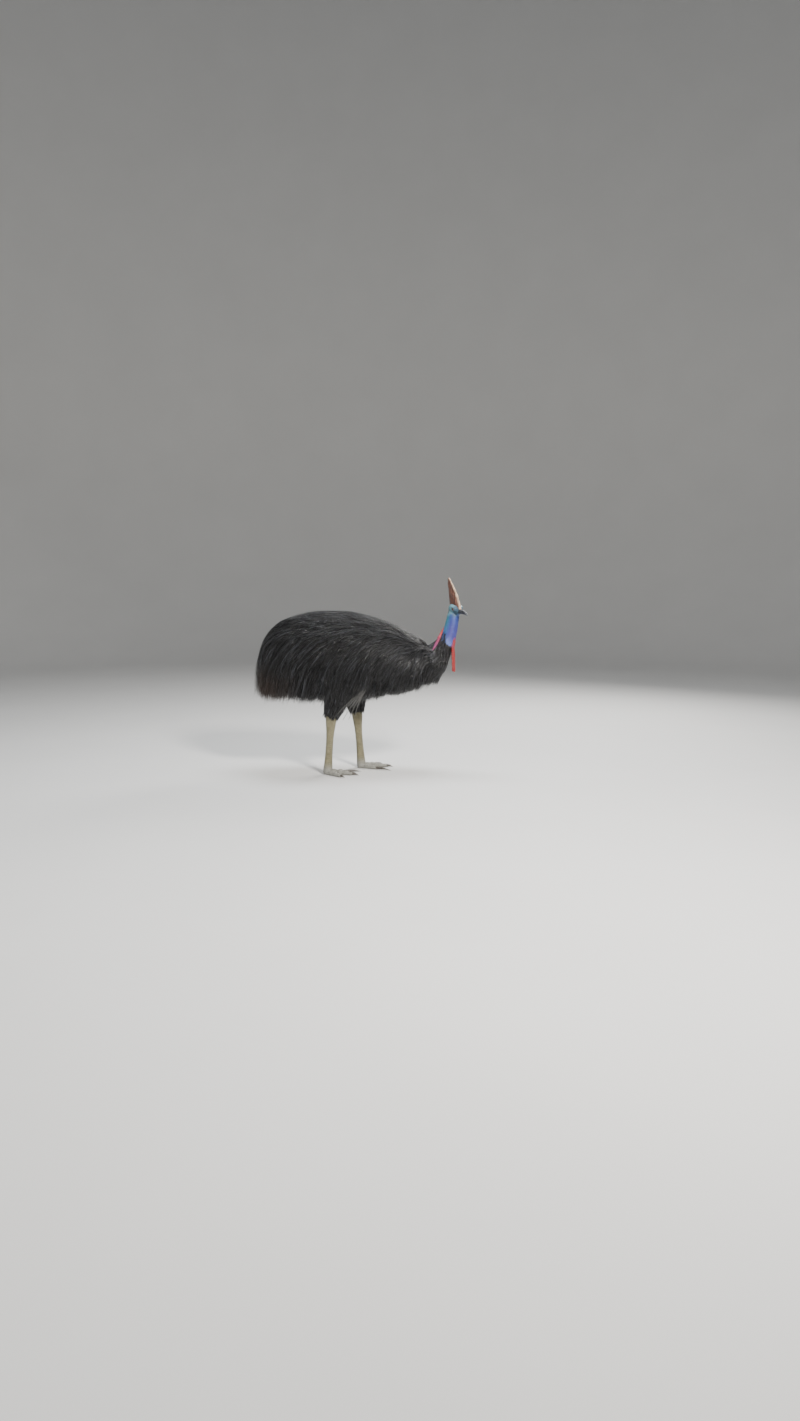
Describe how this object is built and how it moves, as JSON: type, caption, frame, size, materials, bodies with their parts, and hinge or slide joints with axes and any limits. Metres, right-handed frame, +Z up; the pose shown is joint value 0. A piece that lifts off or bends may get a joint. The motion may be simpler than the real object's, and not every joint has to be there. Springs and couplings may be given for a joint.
{
  "type": "southern cassowary, adult",
  "caption": "Life-size southern cassowary standing on both feet, head turned to its right, with casque, bare blue neck, red wattles and drooping plumage.",
  "frame": {"origin": "on the floor, under the middle of the whole bird's box", "axes": "+X the way the body faces, +Y the bird's left side, +Z up"},
  "size_m": [1.4166, 0.4696, 1.2863],
  "materials": {
    "plumage": "long glossy black feathers, loose and hair-like",
    "blue_skin": "bare wrinkled skin, violet-blue to pale blue",
    "head_skin": "bare pale blue-green skin",
    "red_skin": "bare folded crimson skin",
    "casque_horn": "brown keratin with a paler front ridge, satin",
    "bill_horn": "dark grey keratin, satin",
    "eye": "wet, dark pupil in an amber-brown iris",
    "quill": "bare black feather shafts, glossy",
    "leg_scale": "olive-grey scaled skin, matte",
    "claw_horn": "dark worn keratin"
  },
  "bodies": {
    "root": {"tail": "plumage", "torso": "plumage", "breast": "plumage", "neck_base": "plumage", "thigh_right": "plumage", "thigh_left": "plumage", "neck_lower": "blue_skin", "neck_upper": "blue_skin", "head": "head_skin", "wattle_right": "red_skin", "wattle_left": "red_skin", "casque": "casque_horn", "bill_upper": "bill_horn", "bill_lower": "bill_horn", "eye_right": "eye", "eye_left": "eye", "wing_right": "quill", "wing_left": "quill", "shank_right": "leg_scale", "foot_right": "leg_scale", "toe_inner_right": "leg_scale", "toe_middle_right": "leg_scale", "toe_outer_right": "leg_scale", "shank_left": "leg_scale", "foot_left": "leg_scale", "toe_inner_left": "leg_scale", "toe_middle_left": "leg_scale", "toe_outer_left": "leg_scale", "claw_inner_right": "claw_horn", "claw_middle_right": "claw_horn", "claw_outer_right": "claw_horn", "claw_inner_left": "claw_horn", "claw_middle_left": "claw_horn", "claw_outer_left": "claw_horn"}
  },
  "joints": []
}
